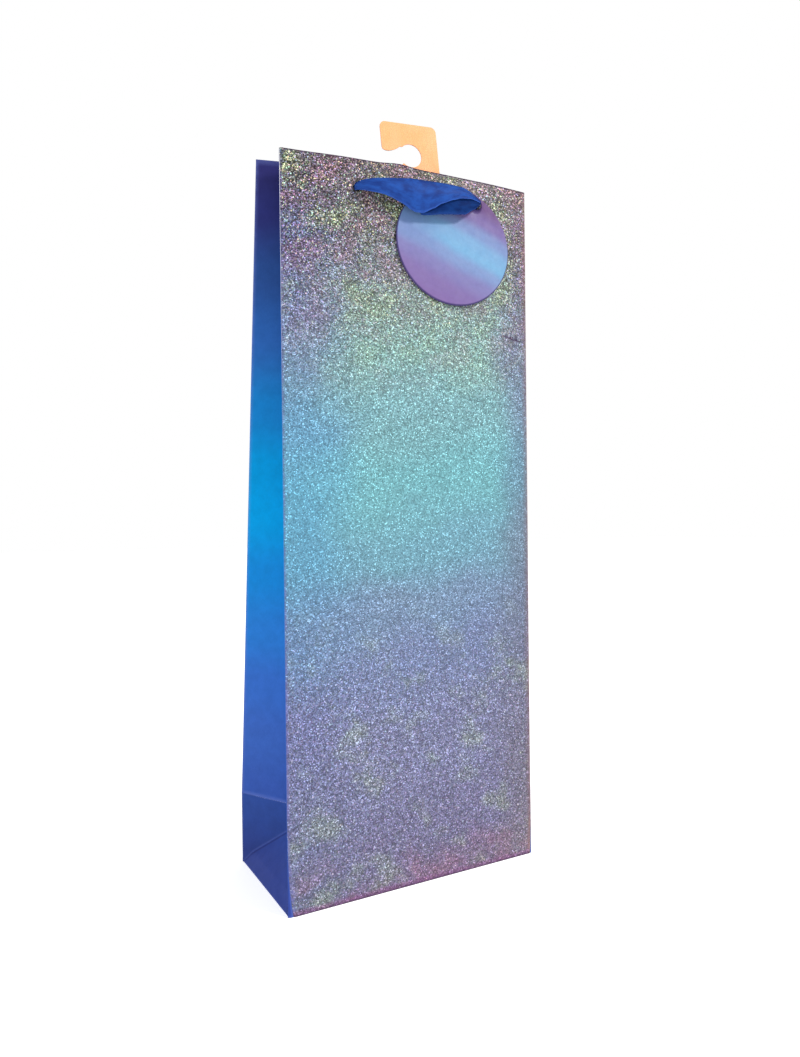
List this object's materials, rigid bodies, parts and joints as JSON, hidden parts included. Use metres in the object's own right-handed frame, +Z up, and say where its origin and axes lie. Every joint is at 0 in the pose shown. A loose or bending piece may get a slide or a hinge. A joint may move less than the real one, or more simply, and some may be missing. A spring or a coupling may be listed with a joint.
{
  "type": "wine gift bag",
  "caption": "Tall paper bottle bag with folded sides, ribbon handles, a round hanging gift tag, a clear hang tab and a loose base board.",
  "frame": {"origin": "centre of the base, on the surface that the bag stands on", "axes": "+X to the right across the front, +Y from the front to the back, +Z up"},
  "size_m": [0.1405, 0.074, 0.3793],
  "materials": {
    "glitter_paper": "holographic glitter film over a vertical ombre print",
    "satin_paper": "satin coated paper, printed in a blue ombre",
    "inner_paper": "uncoated white inside of the bag paper",
    "grey_card": "uncoated grey board",
    "satin_ribbon": "royal blue satin weave with a fine selvedge",
    "tag_card": "coated card printed in a purple and sky blue ombre",
    "clear_plastic": "clear film, warm where the light comes through",
    "adhesive": "clear adhesive pad"
  },
  "bodies": {
    "bag": {"front_panel": "glitter_paper", "back_panel_lower": "glitter_paper", "front_mouth_card": "grey_card", "front_mouth_hem": "glitter_paper", "left_gusset_lower": "satin_paper", "right_gusset_lower": "satin_paper", "left_gusset_front_half": "satin_paper", "left_gusset_front_hem": "satin_paper", "left_gusset_back_half": "satin_paper", "left_gusset_back_hem": "satin_paper", "right_gusset_front_half": "satin_paper", "right_gusset_front_hem": "satin_paper", "right_gusset_back_half": "satin_paper", "right_gusset_back_hem": "satin_paper", "bottom_flap_front": "satin_paper", "bottom_flap_back": "satin_paper", "bottom_flap_left": "satin_paper", "bottom_flap_right": "satin_paper", "front_knot_left": "satin_ribbon", "front_knot_right": "satin_ribbon", "hang_tab": "clear_plastic", "hang_tab_pad": "adhesive"},
    "back_wall": {"back_panel": "glitter_paper", "back_mouth_card": "grey_card", "back_mouth_hem": "glitter_paper", "side_seam_flap": "satin_paper", "back_knot_left": "satin_ribbon", "back_knot_right": "satin_ribbon"},
    "front_handle": {"front_ribbon": "satin_ribbon"},
    "back_handle": {"back_ribbon": "satin_ribbon"},
    "tag": {"gift_tag": "tag_card"},
    "board": {"base_board": "grey_card"}
  },
  "joints": [
    {"name": "mouth_open", "type": "hinge", "parent": "bag", "child": "back_wall", "pos_m": [0, 0.037, 0.036], "axis": [-1, 0, 0], "range_deg": [0, 8], "deforming": ["left_gusset_front_half", "left_gusset_front_hem", "left_gusset_back_half", "left_gusset_back_hem", "right_gusset_front_half", "right_gusset_front_hem", "right_gusset_back_half", "right_gusset_back_hem"]},
    {"name": "front_ribbon_lift", "type": "hinge", "parent": "bag", "child": "front_handle", "pos_m": [0.04099, -0.03274, 0.34104], "axis": [-0.9902, 0.1396, -0.0054], "range_deg": [0, 40]},
    {"name": "back_ribbon_lift", "type": "hinge", "parent": "back_wall", "child": "back_handle", "pos_m": [0.03289, -0.00148, 0.33852], "axis": [0.9973, -0.0725, -0.0091], "range_deg": [0, 40]},
    {"name": "tag_swing", "type": "hinge", "parent": "bag", "child": "tag", "pos_m": [0.04104, -0.03124, 0.34099], "axis": [-0.1138, -0.9931, 0.0284], "range_deg": [-50, 75]},
    {"name": "board_lift", "type": "slide", "parent": "bag", "child": "board", "axis": [0, 0, 1], "range_m": [0, 0.004]}
  ]
}
